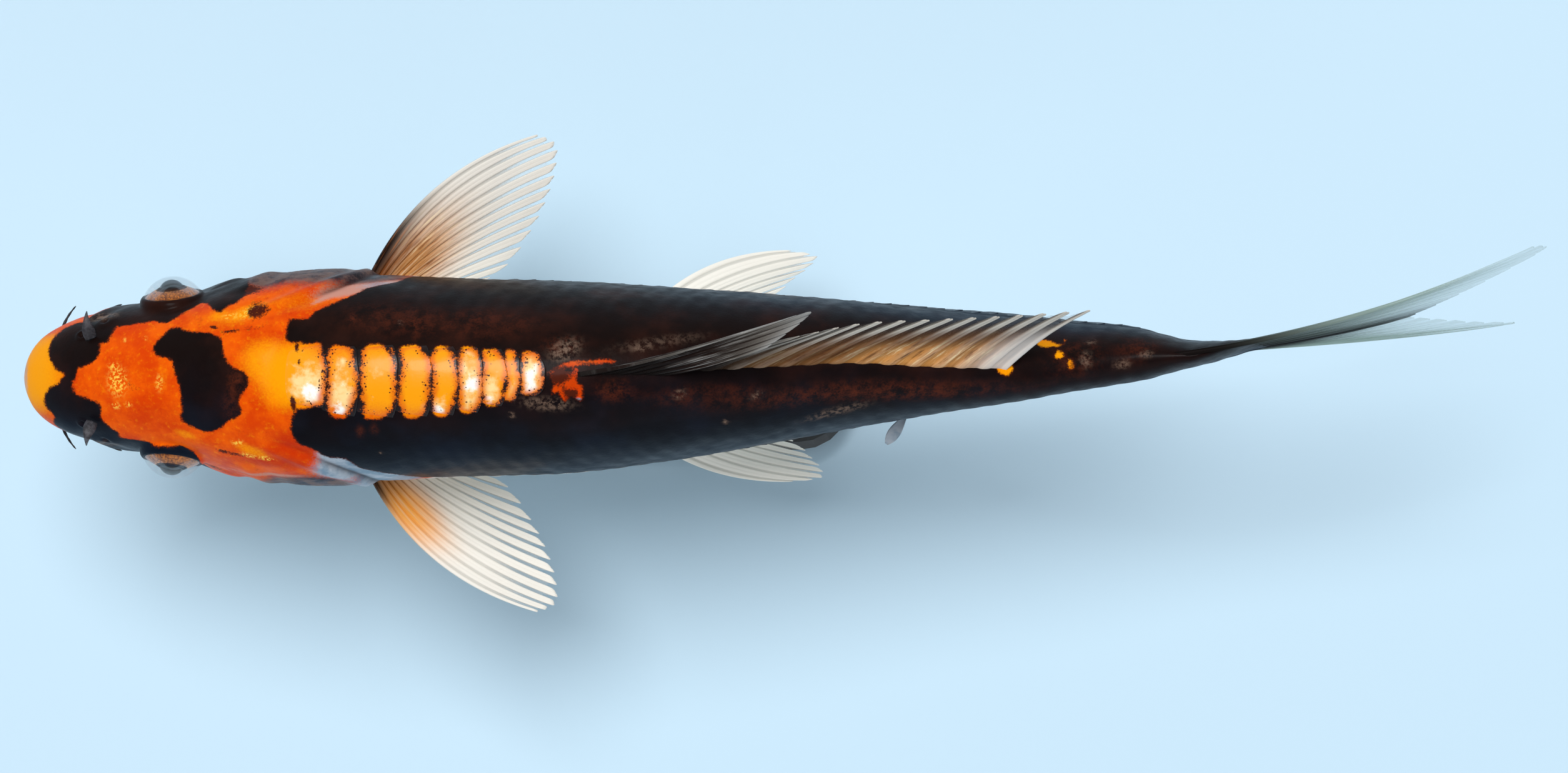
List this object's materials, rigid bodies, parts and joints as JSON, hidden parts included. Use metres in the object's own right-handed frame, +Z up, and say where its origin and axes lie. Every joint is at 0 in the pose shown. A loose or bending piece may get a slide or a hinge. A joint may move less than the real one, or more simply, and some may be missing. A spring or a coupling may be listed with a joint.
{
  "type": "koi carp",
  "caption": "Life-size still koi carp in a swimming pose, orange, black and white with mirror scales and spread fins, held over a low black display base by slim rods.",
  "frame": {"origin": "middle of the underside of the stand's base, on the surface it stands on", "axes": "+X from head to tail along the fish, +Y to the fish's right side, +Z up"},
  "size_m": [0.2205, 0.0707, 0.0944],
  "materials": {
    "orange_head_skin": "wet smooth skin",
    "black_body_skin": "wet smooth skin under mirror scales",
    "white_fin_rays": "thin ribbed fin, satin",
    "dark_fin_rays": "thin ribbed fin, satin",
    "eye": "polished, wet",
    "dark_feeler": "soft wet skin",
    "black_stand": "satin black powder coat"
  },
  "bodies": {
    "root": {"head": "orange_head_skin", "gill_cover_left": "orange_head_skin", "gill_cover_right": "orange_head_skin", "upper_lip": "orange_head_skin", "lower_lip": "orange_head_skin", "trunk_front": "black_body_skin", "trunk_rear": "black_body_skin", "tail_stalk": "black_body_skin", "pectoral_fin_left": "white_fin_rays", "pectoral_fin_right": "white_fin_rays", "pelvic_fin_left": "white_fin_rays", "pelvic_fin_right": "white_fin_rays", "anal_fin": "white_fin_rays", "tail_fin_upper": "white_fin_rays", "tail_fin_lower": "white_fin_rays", "dorsal_fin_front": "dark_fin_rays", "dorsal_fin_rear": "dark_fin_rays", "eye_left": "eye", "eye_right": "eye", "lip_barbel_left": "dark_feeler", "lip_barbel_right": "dark_feeler", "corner_barbel_left": "dark_feeler", "corner_barbel_right": "dark_feeler", "nostril_flap_left": "dark_feeler", "nostril_flap_right": "dark_feeler", "stand_base": "black_stand", "stand_rod_front": "black_stand", "stand_rod_rear": "black_stand"}
  },
  "joints": []
}
